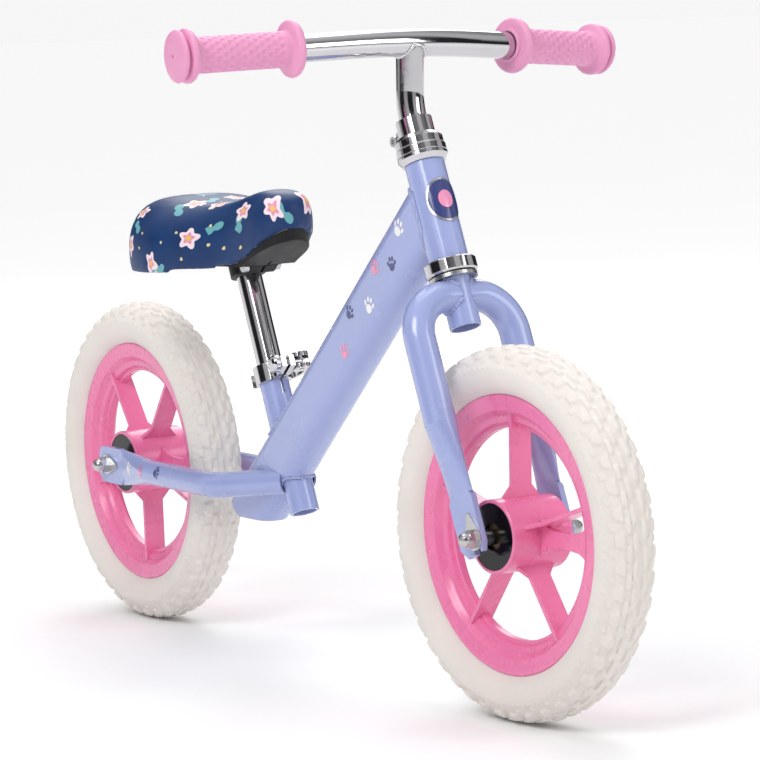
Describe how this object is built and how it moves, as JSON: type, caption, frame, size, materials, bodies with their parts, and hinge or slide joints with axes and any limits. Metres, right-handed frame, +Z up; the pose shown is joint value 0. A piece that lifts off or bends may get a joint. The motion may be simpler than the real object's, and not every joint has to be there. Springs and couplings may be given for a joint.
{
  "type": "balance bike",
  "caption": "Child's balance bike: steel frame and fork, foam-tyred plastic wheels, steering handlebar, quick-release seat post and padded saddle.",
  "frame": {"origin": "on the ground, midway between the two axles, in the frame's middle plane", "axes": "+X forward, towards the front wheel; +Y to the rider's left; +Z up"},
  "size_m": [0.9, 0.4165, 0.5418],
  "materials": {
    "paint": "glossy lavender-blue enamel",
    "chrome": "polished chrome plate",
    "steel": "zinc-plated steel",
    "foam": "cream foam with a moulded tread",
    "pink": "glossy pink moulded plastic",
    "grip": "soft pale-pink rubber",
    "black": "black moulded plastic",
    "cap": "glossy black plastic",
    "vinyl": "navy vinyl with a small floral print",
    "brass": "plain brass-coloured steel"
  },
  "bodies": {
    "frame": {"main_tube": "paint", "head_tube": "paint", "seat_tube": "paint", "chainstay_right": "paint", "chainstay_left": "paint", "head_cup_lower": "chrome", "head_cup_upper": "chrome", "head_balls_lower": "steel", "head_balls_upper": "steel", "seat_clamp": "chrome", "qr_skewer": "steel", "qr_nut": "chrome", "qr_pivot_pin": "steel", "rear_axle": "steel", "rear_spacers": "steel", "rear_tab_washers": "steel", "rear_dome_nuts": "steel"},
    "fork": {"steerer_tube": "paint", "fork_blade_right": "paint", "fork_blade_left": "paint", "crown_race": "steel", "adjusting_race": "chrome", "lock_nut": "chrome", "stem_clamp": "chrome", "stem_clamp_bolt": "steel", "stem_clamp_nut": "steel", "front_axle": "steel", "front_spacers": "steel", "front_tab_washers": "steel", "front_dome_nuts": "steel"},
    "bars": {"stem_post": "chrome", "handlebar": "chrome", "grip_right": "grip", "grip_left": "grip"},
    "front_wheel": {"front_tyre": "foam", "front_wheel_moulding": "pink", "front_hub_caps": "cap", "front_bearings": "brass"},
    "rear_wheel": {"rear_tyre": "foam", "rear_wheel_moulding": "pink", "rear_hub_caps": "cap", "rear_bearings": "brass"},
    "saddle": {"seat_post": "chrome", "saddle_base": "black", "saddle_cushion": "vinyl", "saddle_bolt": "steel", "saddle_nut": "steel"},
    "lever": {"qr_lever": "chrome"}
  },
  "joints": [
    {"name": "steering", "type": "hinge", "parent": "frame", "child": "fork", "pos_m": [0.2173, 0, 0.349], "axis": [-0.3778, 0, 0.9259], "range_deg": [-74.2, 65.8]},
    {"name": "bar_height", "type": "slide", "parent": "fork", "child": "bars", "axis": [-0.3778, 0, 0.9259], "range_m": [0, 0.03]},
    {"name": "front_wheel_spin", "type": "hinge", "parent": "fork", "child": "front_wheel", "pos_m": [0.30492, 0.0003, 0.14498], "axis": [-0.0678, 0.9973, -0.0277], "continuous": true},
    {"name": "rear_wheel_spin", "type": "hinge", "parent": "frame", "child": "rear_wheel", "pos_m": [-0.305, 0, 0.145], "axis": [0, 1, 0], "continuous": true},
    {"name": "seat_height", "type": "slide", "parent": "frame", "child": "saddle", "axis": [-0.3746, 0, 0.9272], "range_m": [-0.045, 0.02]},
    {"name": "qr_lever_swing", "type": "hinge", "parent": "frame", "child": "lever", "pos_m": [-0.04942, 0.0152, 0.25166], "axis": [0.3746, 0, -0.9272], "range_deg": [0, 120]}
  ]
}
